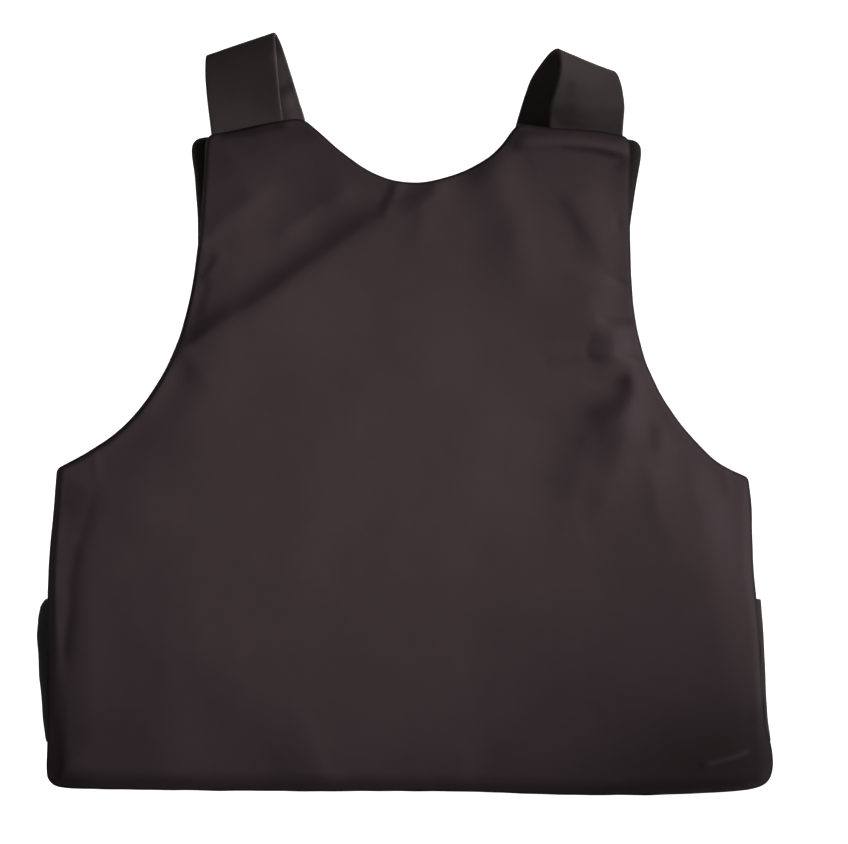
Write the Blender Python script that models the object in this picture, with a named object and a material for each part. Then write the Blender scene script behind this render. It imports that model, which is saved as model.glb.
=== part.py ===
"""A covert stab vest, lying on its back with its front up.

A padded front panel lies over a padded back panel. Two shoulder straps loop from one panel to the other
past the neckline, and a broad strap goes round each side. Metres, +Z up, +Y towards the neck.
Left is -X and right is +X, as the front is seen from above. The origin is under the middle, on the floor.
"""

import math

import bmesh
import bpy
import numpy as np
from mathutils.geometry import delaunay_2d_cdt

# Clear space between two pieces that touch on the real vest, and more of it where a panel's faces are coarse
GAP = 0.0003
FACE_SAG = 0.0002

# Thickness of a panel at its sewn edge, and over the protective pack inside it
EDGE_THICKNESS = 0.0105
PACK_THICKNESS = 0.0125
# How far in from the outline the pack starts, and where the panel reaches its full thickness
PACK_START = 0.002
PACK_FULL = 0.034

# How the back panel lies: flat in the middle, its sides lifted by the side straps
BACK_FLAT_HALF_WIDTH = 0.100
BACK_SIDE_LIFT = 0.010
LIFT_POWER = 2.0
BACK_LIFT_END_Y = 0.060

# How the front panel arches over the back one: underside at its sides, and the arch's height
SIDE_X = 0.245
FRONT_SIDE_SEAT = 0.0228
FRONT_ARCH = 0.013
ARCH_POWER = 2.8
# Share of the arch along the panel, from the hem to the neck: y, share
ARCH_ALONG = (
    (-0.270, 0.50),
    (-0.215, 0.78),
    (-0.120, 0.97),
    (-0.020, 1.00),
    (0.060, 0.86),
    (0.120, 0.62),
    (0.165, 0.38),
    (0.210, 0.25),
)
# The shoulders of the front panel settle down to this underside, from this y on and this far out
SHOULDER_SEAT = 0.0206
SHOULDER_START_Y, SHOULDER_FULL_Y = 0.118, 0.172
SHOULDER_START_X, SHOULDER_FULL_X = 0.020, 0.075

# Spacing of points along an outline, and over a panel's outer and inner face
OUTLINE_STEP = 0.0135
FRONT_FACE_STEP = 0.0135
PLAIN_FACE_STEP = 0.026
# Points of one fold keep this far from those of another
FOLD_POINT_CLEAR = 0.004
# Points each side of a fold's line, as shares of its width on that side
FOLD_ROWS = (-1.5, -0.75, 0.0, 0.75, 1.5)

# Insets from the outline of the rings of points round a panel's edge
EDGE_INSETS = (0.0050, 0.0016, 0.0)
# At the outline, how far a face lies from the middle of the edge, as a share of half the thickness
SEAM_SHARE = 0.30
# How far in a face rolls over towards the seam: the front's outer face by y on its left and right, other faces
FRONT_ROLL = (
    (-0.270, 0.0160, 0.0080),
    (-0.200, 0.0160, 0.0060),
    (-0.120, 0.0100, 0.0060),
    (-0.050, 0.0040, 0.0060),
    (-0.030, 0.0032, 0.0032),
)
PLAIN_ROLL = 0.0040
# A rounded corner has a point for each of these lengths of its size
CORNER_STEP = 0.006

# Outlines, anticlockwise: edge, size of the rounded corner it starts from, the points it passes through
FRONT_EDGES = (
    (
        "left shoulder",
        0.0055,
        ((-0.0730, 0.2080), (-0.0975, 0.2045), (-0.1143, 0.1998), (-0.1405, 0.1960)),
    ),
    (
        "left armhole",
        0.0055,
        (
            (-0.1405, 0.1960),
            (-0.1423, 0.1650),
            (-0.1448, 0.1250),
            (-0.1502, 0.0860),
            (-0.1600, 0.0490),
            (-0.1760, 0.0175),
            (-0.1975, -0.0085),
            (-0.2225, -0.0262),
            (-0.2448, -0.0378),
        ),
    ),
    (
        "left side",
        0.0,
        (
            (-0.2448, -0.0378),
            (-0.2458, -0.0540),
            (-0.2480, -0.0767),
            (-0.2508, -0.1120),
            (-0.2514, -0.1600),
            (-0.2512, -0.2100),
            (-0.2519, -0.2350),
            (-0.2535, -0.2618),
        ),
    ),
    (
        "hem",
        0.0140,
        (
            (-0.2535, -0.2618),
            (-0.2000, -0.2625),
            (-0.0750, -0.2632),
            (0.0300, -0.2634),
            (0.1150, -0.2660),
            (0.1780, -0.2660),
            (0.2200, -0.2645),
            (0.2578, -0.2615),
        ),
    ),
    (
        "right side",
        0.0175,
        (
            (0.2578, -0.2615),
            (0.2574, -0.2420),
            (0.2554, -0.2300),
            (0.2514, -0.2190),
            (0.2492, -0.1950),
            (0.2467, -0.1550),
            (0.2444, -0.1290),
            (0.2428, -0.1120),
            (0.2416, -0.0760),
            (0.2408, -0.0580),
            (0.2388, -0.0440),
        ),
    ),
    (
        "right armhole",
        0.0,
        (
            (0.2388, -0.0440),
            (0.2146, -0.0318),
            (0.1935, -0.0095),
            (0.1775, 0.0130),
            (0.1655, 0.0395),
            (0.1585, 0.0720),
            (0.1562, 0.1050),
            (0.1560, 0.1400),
            (0.1566, 0.1938),
        ),
    ),
    (
        "right shoulder",
        0.0055,
        ((0.1566, 0.1938), (0.1380, 0.1980), (0.1150, 0.1996), (0.0960, 0.2006), (0.0770, 0.2035)),
    ),
    (
        "neckline",
        0.0055,
        (
            (0.0770, 0.2035),
            (0.0640, 0.1848),
            (0.0447, 0.1718),
            (0.0195, 0.1630),
            (-0.0010, 0.1618),
            (-0.0215, 0.1674),
            (-0.0425, 0.1812),
            (-0.0600, 0.1968),
            (-0.0730, 0.2080),
        ),
    ),
)
BACK_EDGES = (
    ("left shoulder", 0.012, ((-0.0690, 0.1965), (-0.1100, 0.1965), (-0.1545, 0.1965))),
    (
        "left armhole",
        0.012,
        (
            (-0.1545, 0.1965),
            (-0.1502, 0.1700),
            (-0.1478, 0.1300),
            (-0.1490, 0.0900),
            (-0.1590, 0.0470),
            (-0.1755, 0.0150),
            (-0.1960, -0.0105),
            (-0.2190, -0.0278),
            (-0.2400, -0.0400),
        ),
    ),
    ("left side", 0.012, ((-0.2400, -0.0400), (-0.2430, -0.1500), (-0.2440, -0.2570))),
    ("hem", 0.018, ((-0.2440, -0.2570), (0.0000, -0.2590), (0.2460, -0.2570))),
    ("right side", 0.018, ((0.2460, -0.2570), (0.2410, -0.1500), (0.2350, -0.0440))),
    (
        "right armhole",
        0.012,
        (
            (0.2350, -0.0440),
            (0.2120, -0.0325),
            (0.1915, -0.0115),
            (0.1755, 0.0120),
            (0.1615, 0.0480),
            (0.1562, 0.0980),
            (0.1590, 0.1400),
            (0.1682, 0.1952),
        ),
    ),
    ("right shoulder", 0.012, ((0.1682, 0.1952), (0.1180, 0.1952), (0.0720, 0.1952))),
    (
        "neckline",
        0.012,
        ((0.0720, 0.1952), (0.0500, 0.1680), (0.0000, 0.1520), (-0.0480, 0.1690), (-0.0690, 0.1965)),
    ),
)

# Folds in the front panel's outer face, each along a curve: name, width on the curve's left and right, height
# (a valley's is below zero), step (how far its left side lies lower than its right), strength at its start and
# at its end, and the points it passes through
FOLDS = (
    (
        "shoulder drape", 0.0080, 0.0060, 0.0, 0.0060, 1.0, 0.5,
        ((-0.157, 0.032), (-0.146, 0.044), (-0.130, 0.058), (-0.103, 0.077), (-0.070, 0.098), (-0.042, 0.117),
         (-0.022, 0.128), (-0.006, 0.140), (0.004, 0.154)),
    ),
    (
        "right neck ridge", 0.0060, 0.0040, 0.0014, 0.0, 1.0, 0.4,
        ((0.056, 0.172), (0.059, 0.157), (0.066, 0.143), (0.073, 0.129), (0.077, 0.114)),
    ),
    ("shoulder band", 0.0040, 0.0040, 0.0016, 0.0, 0.8, 1.0, ((0.086, 0.189), (0.118, 0.190), (0.148, 0.183))),
    ("shoulder crease", 0.0040, 0.0050, -0.0016, 0.0, 0.8, 0.6, ((0.11, 0.148), (0.13, 0.123), (0.139, 0.096))),
    ("pocket dent", 0.0060, 0.0030, -0.0020, 0.0, 0.6, 0.7, ((0.139, 0.056), (0.129, 0.052), (0.129, 0.038))),
    (
        "armhole dent", 0.0050, 0.0090, -0.0034, 0.0, 1.0, 0.3,
        ((0.152, 0.028), (0.149, 0.016), (0.141, 0.006), (0.131, 0.000), (0.119, -0.011)),
    ),
    (
        "armhole ridge", 0.0060, 0.0050, 0.0018, 0.0, 0.8, 0.8,
        ((0.158, 0.040), (0.158, 0.020), (0.156, 0.002), (0.157, -0.016), (0.152, -0.040)),
    ),
    (
        "valley tail", 0.0080, 0.0110, -0.0016, 0.0, 1.0, 0.2,
        ((0.137, -0.004), (0.132, -0.025), (0.123, -0.047), (0.109, -0.075)),
    ),
    (
        "side swell", 0.0300, 0.0600, 0.0030, 0.0, 1.0, 0.4,
        ((0.120, 0.000), (0.160, -0.040), (0.205, -0.085), (0.228, -0.110)),
    ),
    (
        "left edge crease", 0.0050, 0.0060, -0.0018, 0.0, 0.6, 0.8,
        ((-0.211, -0.024), (-0.224, -0.062), (-0.232, -0.096), (-0.237, -0.130), (-0.239, -0.172)),
    ),
    ("hem wrinkle", 0.0040, 0.0040, 0.0011, 0.0, 0.7, 0.8, ((0.206, -0.237), (0.222, -0.231), (0.238, -0.223))),
)
# How sharp a fold is, how round the top of a step is, and how far its low side takes to come up again
FOLD_POWER = 1.7
STEP_ROUND = 0.0020
STEP_REACH = 0.090

# Cloth straps: thickness, and how many rows of points one has along its length
STRAP_THICKNESS = 0.0025
STRAP_ROWS = 32
STRAP_FRONT_Z = SHOULDER_SEAT - GAP - STRAP_THICKNESS / 2
STRAP_BACK_Z = PACK_THICKNESS + GAP + STRAP_THICKNESS / 2
# A shoulder strap from the front panel, over its far end and back: x, y, z of its left edge and of its right one
LEFT_STRAP = (
    (-0.1360, 0.1747, STRAP_FRONT_Z, -0.0850, 0.1773, STRAP_FRONT_Z),
    (-0.1372, 0.1955, STRAP_FRONT_Z, -0.0864, 0.2025, STRAP_FRONT_Z),
    (-0.1396, 0.2163, 0.0215, -0.0885, 0.2217, 0.0270),
    (-0.1412, 0.2350, 0.0225, -0.0902, 0.2440, 0.0345),
    (-0.1414, 0.2479, 0.0200, -0.0916, 0.2600, 0.0335),
    (-0.1408, 0.2519, 0.0140, -0.0919, 0.2671, 0.0245),
    (-0.1368, 0.2445, 0.0075, -0.0885, 0.2615, 0.0140),
    (-0.1298, 0.2245, 0.0053, -0.0820, 0.2415, 0.0075),
    (-0.1240, 0.2051, 0.0092, -0.0757, 0.2209, 0.0092),
    (-0.1204, 0.1928, STRAP_BACK_Z, -0.0712, 0.2052, STRAP_BACK_Z),
    (-0.1173, 0.1645, STRAP_BACK_Z, -0.0667, 0.1715, STRAP_BACK_Z),
)
RIGHT_STRAP = (
    (0.1017, 0.1760, STRAP_FRONT_Z, 0.1527, 0.1740, STRAP_FRONT_Z),
    (0.1003, 0.1985, STRAP_FRONT_Z, 0.1520, 0.1955, STRAP_FRONT_Z),
    (0.1000, 0.2080, 0.0235, 0.1524, 0.2060, 0.0225),
    (0.1012, 0.2180, 0.0305, 0.1527, 0.2160, 0.0275),
    (0.1049, 0.2300, 0.0355, 0.1513, 0.2270, 0.0265),
    (0.1069, 0.2390, 0.0370, 0.1495, 0.2350, 0.0220),
    (0.1072, 0.2470, 0.0360, 0.1478, 0.2395, 0.0165),
    (0.1060, 0.2540, 0.0325, 0.1462, 0.2408, 0.0115),
    (0.1035, 0.2556, 0.0255, 0.1440, 0.2370, 0.0075),
    (0.0985, 0.2520, 0.0175, 0.1415, 0.2320, 0.0055),
    (0.0888, 0.2389, 0.0090, 0.1370, 0.2231, 0.0055),
    (0.0838, 0.2265, 0.0075, 0.1322, 0.2110, 0.0072),
    (0.0790, 0.2110, 0.0105, 0.1276, 0.1998, 0.0105),
    (0.0760, 0.2000, STRAP_BACK_Z, 0.1255, 0.1900, STRAP_BACK_Z),
    (0.0700, 0.1750, STRAP_BACK_Z, 0.1195, 0.1640, STRAP_BACK_Z),
)

# Side straps: thickness, rows of points along one, and where it starts and ends, from the middle of the vest
SIDE_STRAP_THICKNESS = 0.0020
SIDE_STRAP_ROWS = 26
SIDE_STRAP_FRONT_X = (0.212, 0.224, 0.236)
SIDE_STRAP_BACK_X = (0.236, 0.226, 0.214, 0.202, 0.189, 0.177)
# Across a side strap: y, how far out the left one reaches, and the right one
SIDE_STRAP_REACH = (
    (-0.2305, 0.2532, 0.2556),
    (-0.2240, 0.2540, 0.2550),
    (-0.2140, 0.2554, 0.2536),
    (-0.2000, 0.2565, 0.2524),
    (-0.1850, 0.2580, 0.2521),
    (-0.1700, 0.2586, 0.2513),
    (-0.1560, 0.2599, 0.2506),
    (-0.1430, 0.2589, 0.2497),
    (-0.1300, 0.2568, 0.2485),
)
# Its bend round the side: distance inwards from its outermost point, z
SIDE_STRAP_BEND = ((0.0085, 0.0206), (0.0017, 0.0180), (0.0000, 0.0145), (0.0017, 0.0110), (0.0085, 0.0086))

# Blender materials: name, colour, roughness
FRONT_CLOTH = ("dark cover cloth", (0.040, 0.029, 0.032), 0.85)
BACK_CLOTH = ("dark cover cloth, back", (0.036, 0.027, 0.029), 0.88)
STRAP_CLOTH = ("dark strap cloth", (0.034, 0.027, 0.027), 0.80)
SIDE_STRAP_CLOTH = ("dark side strap cloth", (0.030, 0.023, 0.024), 0.88)


def clear_scene():
    for obj in list(bpy.data.objects):
        bpy.data.objects.remove(obj)


def cloth_material(name, colour, roughness):
    material = bpy.data.materials.new(name)
    material.use_nodes = True
    shader = material.node_tree.nodes["Principled BSDF"]
    shader.inputs["Base Color"].default_value = (*colour, 1.0)
    shader.inputs["Roughness"].default_value = roughness
    shader.inputs["Metallic"].default_value = 0.0
    return material


def ease(share):
    """0 up to 0, 1 from 1 on, and smooth between them."""
    share = np.clip(share, 0.0, 1.0)
    return share * share * (3 - 2 * share)


def smooth_curve(points, per_span=16):
    """A smooth curve through rows of numbers: a Catmull-Rom spline, per_span points to a span."""
    rows = np.asarray(points, float)
    rows = np.vstack([2 * rows[0] - rows[1], rows, 2 * rows[-1] - rows[-2]])
    t = np.linspace(0, 1, per_span, endpoint=False)[:, None]
    spans = []
    for a, b, c, d in zip(rows, rows[1:], rows[2:], rows[3:]):
        cubic = (3 * b - 3 * c + d - a) * t**3 + (2 * a - 5 * b + 4 * c - d) * t**2
        spans.append(b + 0.5 * ((c - a) * t + cubic))
    return np.vstack([*spans, rows[-2:-1]])


def travel(points, dimensions):
    """The distance along a run of points, from its start to each of them."""
    steps = np.linalg.norm(np.diff(points[:, :dimensions], axis=0), axis=1)
    return np.concatenate([[0.0], np.cumsum(steps)])


def resampled(points, places, dimensions):
    """The rows at these distances along a run of points."""
    along = travel(points, dimensions)
    return np.column_stack([np.interp(places, along, column) for column in points.T])


def outline(edges, step):
    """The closed outline of these edges, as points about a step apart. A corner of size 0 stays sharp."""
    loop = []
    for (_, cut, points), (_, next_cut, next_points) in zip(edges, edges[1:] + edges[:1]):
        curve = smooth_curve(points)
        length = travel(curve, 2)[-1]
        count = max(2, round((length - cut - next_cut) / step) + 1)
        run = resampled(curve, np.linspace(cut, length - next_cut, count), 2)
        if next_cut == 0:
            loop.append(run[:-1])
            continue
        after = resampled(smooth_curve(next_points), [next_cut], 2)[0]
        corner, before = np.asarray(points[-1]), run[-1]
        shares = np.linspace(0, 1, 2 + round(next_cut / CORNER_STEP))[1:-1, None]
        bend = (1 - shares) ** 2 * before + 2 * shares * (1 - shares) * corner + shares**2 * after
        loop.append(np.vstack([run, bend]))
    return np.vstack(loop)


def inset(loop, distance):
    """An anticlockwise loop moved inwards, each of its sides by the same distance."""
    onwards = np.roll(loop, -1, axis=0) - loop
    onwards /= np.linalg.norm(onwards, axis=1)[:, None]
    inwards = np.column_stack([-onwards[:, 1], onwards[:, 0]])
    both = inwards + np.roll(inwards, 1, axis=0)
    return loop + 2 * distance * both / (both**2).sum(axis=1)[:, None]


def distance_to(loop, points):
    """How far each point is from a closed loop."""
    start, along = loop[None, :, :], (np.roll(loop, -1, axis=0) - loop)[None, :, :]
    offset = points[:, None, :] - start
    share = np.clip((offset * along).sum(2) / (along**2).sum(2), 0, 1)
    return np.linalg.norm(offset - share[..., None] * along, axis=2).min(axis=1)


def inside(loop, points):
    """Which points lie inside a closed loop, by counting the sides that a ray to +X crosses."""
    x, y = points[:, :1], points[:, 1:]
    x0, y0 = loop.T
    x1, y1 = np.roll(loop, -1, axis=0).T
    rise = np.where(y1 == y0, 1e-12, y1 - y0)
    crossing = ((y0 > y) != (y1 > y)) & (x < x0 + (y - y0) * (x1 - x0) / rise)
    return crossing.sum(axis=1) % 2 == 1


def nearest_on(line, points):
    """For each point: how far along a line its nearest place is, 0 to 1, how far the point lies to the line's
    left, and how far beyond the line's ends."""
    start, onwards = line[:-1], np.diff(line, axis=0)
    length = np.linalg.norm(onwards, axis=1)
    offset = points[:, None, :] - start
    share = (offset * onwards).sum(axis=2) / length**2
    away = np.linalg.norm(offset - np.clip(share, 0, 1)[:, :, None] * onwards, axis=2)
    nearest = away.argmin(axis=1)
    rows = np.arange(len(points))
    share, offset = share[rows, nearest], offset[rows, nearest]
    direction = onwards[nearest] / length[nearest][:, None]
    side = direction[:, 0] * offset[:, 1] - direction[:, 1] * offset[:, 0]
    before = np.where(nearest == 0, np.clip(-share, 0, None), 0)
    after = np.where(nearest == len(start) - 1, np.clip(share - 1, 0, None), 0)
    return (nearest + np.clip(share, 0, 1)) / len(start), side, (before + after) * length[nearest]


def fold_height(points):
    """How far the folds raise or lower the front panel's outer face at each point."""
    total = np.zeros(len(points))
    for _, left, right, height, step, start, end, path in FOLDS:
        mean = (left + right) / 2
        share, side, beyond = nearest_on(smooth_curve(path, 6), points)
        strength = (start + (end - start) * share) * np.exp(-((beyond / (1.5 * mean)) ** 2))
        width = right + (left - right) * (0.5 + 0.5 * np.tanh(side / (0.5 * mean)))
        total += height * strength * np.exp(-((np.abs(side) / width) ** FOLD_POWER))
        lower = 0.5 * (side + np.sqrt(side**2 + STEP_ROUND**2))
        total -= step * strength * (1 - np.exp(-lower / left)) * np.exp(-((lower / STEP_REACH) ** 2))
    return total


def back_underside(x, y):
    share = (np.abs(x) - BACK_FLAT_HALF_WIDTH) / (SIDE_X - BACK_FLAT_HALF_WIDTH)
    lifted = np.clip(share, 0, None) ** LIFT_POWER
    return BACK_SIDE_LIFT * lifted * ease((BACK_LIFT_END_Y - y) / BACK_LIFT_END_Y)


def front_underside(x, y):
    across = 1 - np.clip(np.abs(x) / SIDE_X, 0, 1) ** ARCH_POWER
    rows = smooth_curve(ARCH_ALONG)
    arch = FRONT_SIDE_SEAT + FRONT_ARCH * across * np.interp(y, rows[:, 0], rows[:, 1])
    up = ease((y - SHOULDER_START_Y) / (SHOULDER_FULL_Y - SHOULDER_START_Y))
    out = ease((np.abs(x) - SHOULDER_START_X) / (SHOULDER_FULL_X - SHOULDER_START_X))
    return arch + (SHOULDER_SEAT - arch) * up * out


def front_roll(points):
    """How far in the front panel's outer face rolls over at its edge."""
    rows = np.array(FRONT_ROLL)
    left, right = (np.interp(points[:, 1], rows[:, 0], rows[:, k]) for k in (1, 2))
    return left + (right - left) * np.clip(0.5 + points[:, 0] / (2 * SIDE_X), 0, 1)


def plain_roll(points):
    return np.full(len(points), PLAIN_ROLL)


def face_points(loop, step, extra):
    """Points that cover the inside of a loop: the extra ones, and rows a step apart that keep clear of them."""
    low, high = loop.min(axis=0), loop.max(axis=0)
    rows = []
    for number, y in enumerate(np.arange(low[1], high[1], step * math.sqrt(3) / 2)):
        x = np.arange(low[0] + (number % 2) * step / 2, high[0], step)
        rows.append(np.column_stack([x, np.full(len(x), y)]))
    grid = np.vstack(rows)
    for others in extra:
        nearest = np.linalg.norm(grid[:, None, :] - others[None, :, :], axis=2).min(axis=1)
        grid = grid[nearest > 0.6 * step]
    grid = np.vstack([*extra, grid])
    grid = grid[inside(loop, grid)]
    return grid[distance_to(loop, grid) > 0.5 * step]


def fold_points(step):
    """Rows of points along each fold of the front panel, so that its faces follow the fold."""
    kept = np.zeros((0, 2))
    for _, left, right, _, _, _, _, path in FOLDS:
        curve = smooth_curve(path, 6)
        length = travel(curve, 2)[-1]
        line = resampled(curve, np.linspace(0, length, max(3, round(length / step))), 2)
        along = np.gradient(line, axis=0)
        along /= np.linalg.norm(along, axis=1)[:, None]
        across = np.column_stack([-along[:, 1], along[:, 0]])
        for row in FOLD_ROWS:
            points = line + row * (left if row > 0 else right) * across
            if len(kept):
                away = np.linalg.norm(points[:, None, :] - kept[None, :, :], axis=2).min(axis=1)
                points = points[away > FOLD_POINT_CLEAR]
            kept = np.vstack([kept, points])
    return kept


def cap_triangles(ring, points):
    """Triangles between a ring and the points inside it. Returns all the points and the triangles."""
    count = len(ring)
    edges = [(k, (k + 1) % count) for k in range(count)]
    flat = [tuple(point) for point in np.vstack([ring, points])]
    found, _, faces, origin, _, _ = delaunay_2d_cdt(flat, edges, [list(range(count))], 1, 1e-7)
    order = [sources[0] for sources in origin]
    if sorted(order) != list(range(len(flat))):
        raise ValueError("a face's points lie on each other")
    return np.array(flat), [[order[corner] for corner in face] for face in faces]


def mesh_object(name, vertices, faces, material):
    mesh = bpy.data.meshes.new(name)
    mesh.from_pydata([tuple(vertex) for vertex in vertices], [], [list(face) for face in faces])
    shape = bmesh.new()
    shape.from_mesh(mesh)
    bmesh.ops.recalc_face_normals(shape, faces=shape.faces)
    shape.to_mesh(mesh)
    shape.free()
    mesh.shade_smooth()
    mesh.set_sharp_from_angle(angle=math.radians(50))
    mesh.materials.append(material)
    obj = bpy.data.objects.new(name, mesh)
    bpy.context.scene.collection.objects.link(obj)
    return obj


def panel(name, edges, underside, roll, face_step, extra, relief, material):
    """A padded panel: an outline, an inner face at the underside's height and an outer face above it."""
    loop = outline(edges, OUTLINE_STEP)
    vertices, faces, starts = [], [], []

    def heights(points, side):
        """The outer face's height for side 1, the inner one's for side -1."""
        away = distance_to(loop, points)
        pack = ease((away - PACK_START) / (PACK_FULL - PACK_START))
        thick = EDGE_THICKNESS + (PACK_THICKNESS - EDGE_THICKNESS) * pack
        reach = roll(points) if side > 0 else PLAIN_ROLL
        rolled = np.sqrt(1 - (1 - np.clip(away / reach, 0, 1)) ** 2)
        share = SEAM_SHARE + (1 - SEAM_SHARE) * rolled
        raised = relief(points) * share if side > 0 else 0.0
        return underside(points[:, 0], points[:, 1]) + thick * (1 + side * share) / 2 + raised

    for side, insets in ((1, EDGE_INSETS), (-1, EDGE_INSETS[::-1])):
        for distance in insets:
            ring = inset(loop, distance)
            starts.append(len(vertices))
            vertices.extend(np.column_stack([ring, heights(ring, side)]))
    count = len(loop)
    for first, second in zip(starts, starts[1:]):
        for k in range(count):
            following = (k + 1) % count
            faces.append((first + k, second + k, second + following, first + following))
    innermost = inset(loop, EDGE_INSETS[0])
    for side, start, step, points in ((1, starts[0], face_step, extra), (-1, starts[-1], PLAIN_FACE_STEP, [])):
        flat, triangles = cap_triangles(innermost, face_points(innermost, step, points))
        shift = len(vertices)
        middle = flat[count:]
        vertices.extend(np.column_stack([middle, heights(middle, side)]))
        for triangle in triangles:
            faces.append([start + k if k < count else shift + k - count for k in triangle])
    return mesh_object(name, vertices, faces, material)


def no_relief(points):
    return np.zeros(len(points))


def front_panel():
    extra = [fold_points(FRONT_FACE_STEP)]
    return panel(
        "front_panel",
        FRONT_EDGES,
        front_underside,
        front_roll,
        FRONT_FACE_STEP,
        extra,
        fold_height,
        cloth_material(*FRONT_CLOTH),
    )


def back_panel():
    material = cloth_material(*BACK_CLOTH)
    return panel("back_panel", BACK_EDGES, back_underside, plain_roll, PLAIN_FACE_STEP, [], no_relief, material)


def band(name, middles, thick, material):
    """A strap from rows of middle points. Each row runs across it, and its thickness is square to them."""
    out = np.cross(np.gradient(middles, axis=0), np.gradient(middles, axis=1))
    out /= np.linalg.norm(out, axis=2)[:, :, None]
    rows, columns = middles.shape[:2]
    count = rows * columns
    vertices = [*(middles + thick / 2 * out).reshape(-1, 3), *(middles - thick / 2 * out).reshape(-1, 3)]
    faces = []
    for row in range(rows - 1):
        for column in range(columns - 1):
            first = row * columns + column
            quad = (first, first + 1, first + columns + 1, first + columns)
            faces += [quad, tuple(count + k for k in quad)]
    number = np.arange(count).reshape(rows, columns)
    rim = [*number[0, :-1], *number[:-1, -1], *number[-1, :0:-1], *number[:0:-1, 0]]
    for first, second in zip(rim, rim[1:] + rim[:1]):
        faces.append((first, second, second + count, first + count))
    return mesh_object(name, vertices, faces, material)


def shoulder_strap(name, stations, material):
    curve = smooth_curve(stations)
    middle = (curve[:, :3] + curve[:, 3:]) / 2
    along = travel(middle, 3)
    places = np.linspace(0, along[-1], STRAP_ROWS)
    edges = np.column_stack([np.interp(places, along, column) for column in curve.T])
    left, right = edges[:, :3], edges[:, 3:]
    return band(name, np.stack([left, (left + right) / 2, right], axis=1), STRAP_THICKNESS, material)


def side_strap(side, material):
    """A strap from under the front panel, round the side and under the back panel."""
    sign = -1.0 if side == "left" else 1.0
    clear = GAP + FACE_SAG + SIDE_STRAP_THICKNESS / 2
    columns = []
    for y, left_reach, right_reach in SIDE_STRAP_REACH:
        reach = left_reach if side == "left" else right_reach
        stations = [(x, front_underside(x, y) - clear) for x in SIDE_STRAP_FRONT_X]
        stations += [(reach - inwards, z) for inwards, z in SIDE_STRAP_BEND]
        stations += [(x, back_underside(x, y) - clear) for x in SIDE_STRAP_BACK_X]
        curve = smooth_curve(stations)
        curve = resampled(curve, np.linspace(0, travel(curve, 2)[-1], SIDE_STRAP_ROWS), 2)
        columns.append(np.column_stack([sign * curve[:, 0], np.full(len(curve), y), curve[:, 1]]))
    return band(f"side_strap_{side}", np.stack(columns, axis=1), SIDE_STRAP_THICKNESS, material)


def build():
    clear_scene()
    front_panel()
    back_panel()
    strap_cloth = cloth_material(*STRAP_CLOTH)
    shoulder_strap("shoulder_strap_left", LEFT_STRAP, strap_cloth)
    shoulder_strap("shoulder_strap_right", RIGHT_STRAP, strap_cloth)
    side_cloth = cloth_material(*SIDE_STRAP_CLOTH)
    side_strap("left", side_cloth)
    side_strap("right", side_cloth)


build()
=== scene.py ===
"""The looks of a covert stab vest that lies on its back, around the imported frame.

Metres, +Z up, +Y towards the neck. Left is -X and right is +X, as in the photograph.
"""

import math
from collections import namedtuple

import bpy
import numpy as np
from mathutils import Matrix, Vector, noise
from mathutils.geometry import delaunay_2d_cdt
from mathutils.kdtree import KDTree


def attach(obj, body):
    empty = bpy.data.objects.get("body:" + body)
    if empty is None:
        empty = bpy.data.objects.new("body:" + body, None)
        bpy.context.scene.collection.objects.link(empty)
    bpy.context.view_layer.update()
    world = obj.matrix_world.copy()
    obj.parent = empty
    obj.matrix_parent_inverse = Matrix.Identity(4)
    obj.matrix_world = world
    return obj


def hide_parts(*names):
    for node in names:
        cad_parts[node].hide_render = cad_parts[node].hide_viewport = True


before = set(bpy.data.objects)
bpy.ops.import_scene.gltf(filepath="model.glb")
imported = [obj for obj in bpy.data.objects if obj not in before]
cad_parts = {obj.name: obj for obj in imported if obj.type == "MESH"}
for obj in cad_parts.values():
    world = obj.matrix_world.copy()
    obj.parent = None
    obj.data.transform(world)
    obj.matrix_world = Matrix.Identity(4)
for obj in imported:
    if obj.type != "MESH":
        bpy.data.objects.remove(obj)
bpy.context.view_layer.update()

# Driving sizes of the panels, as in the CAD
EDGE_THICKNESS = 0.0105
PACK_THICKNESS = 0.0125
PACK_START = 0.002
PACK_FULL = 0.034
# The least that a panel's folds and creases leave of its thickness
THINNEST = 0.003

# The front panel's edge by y: how far in the outer face rolls over on its left and right, and how high the
# seam lies there, from -1 at the inner face to 1 at the outer one. They hold in full at SIDE_X to both sides
EDGE_BY_Y = (
    (-0.27, 0.016, 0.013, -0.8, -0.7),
    (-0.232, 0.017, 0.012, -0.3, -0.5),
    (-0.205, 0.0165, 0.007, 0.15, -0.2),
    (-0.185, 0.013, 0.006, 0.3, 0.0),
    (-0.15, 0.0075, 0.006, 0.2, 0.3),
    (-0.1, 0.006, 0.009, 0.2, 0.2),
    (-0.06, 0.0045, 0.008, 0.2, 0.4),
    (-0.035, 0.0045, 0.003, 0.2, 0.8),
    (0.06, 0.003, 0.003, 0.2, 0.8),
)
SIDE_X = 0.245
# The neckline's own edge: half its width, where it starts, its roll, its seam and how far it blends
NECK_HALF = 0.085
NECK_Y = 0.08
NECK_ROLL = 0.003
NECK_SEAM = 0.7
NECK_BLEND = 0.015
# The roll of the back panel's edge and of every inner face
PLAIN_ROLL = 0.004
# Share of a face's roll that stands at the outline, how round the rest is, and the seam's depth
SEAM_SHARE = 0.1
ROLL_POWER = 1.8
SEAM_DEPTH = 0.0007
# How far an edge wavers in plan, over what length, and its row of the noise
EDGE_WOBBLE = 0.0004
WOBBLE_LENGTH = 0.02
WOBBLE_ROW = 0.1
# Depths of the rings of points round an edge
EDGE_DEPTHS = (0.003, 0.0022, 0.0014, 0.0008, 0.00035, 0.0001, 0.0)

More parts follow.
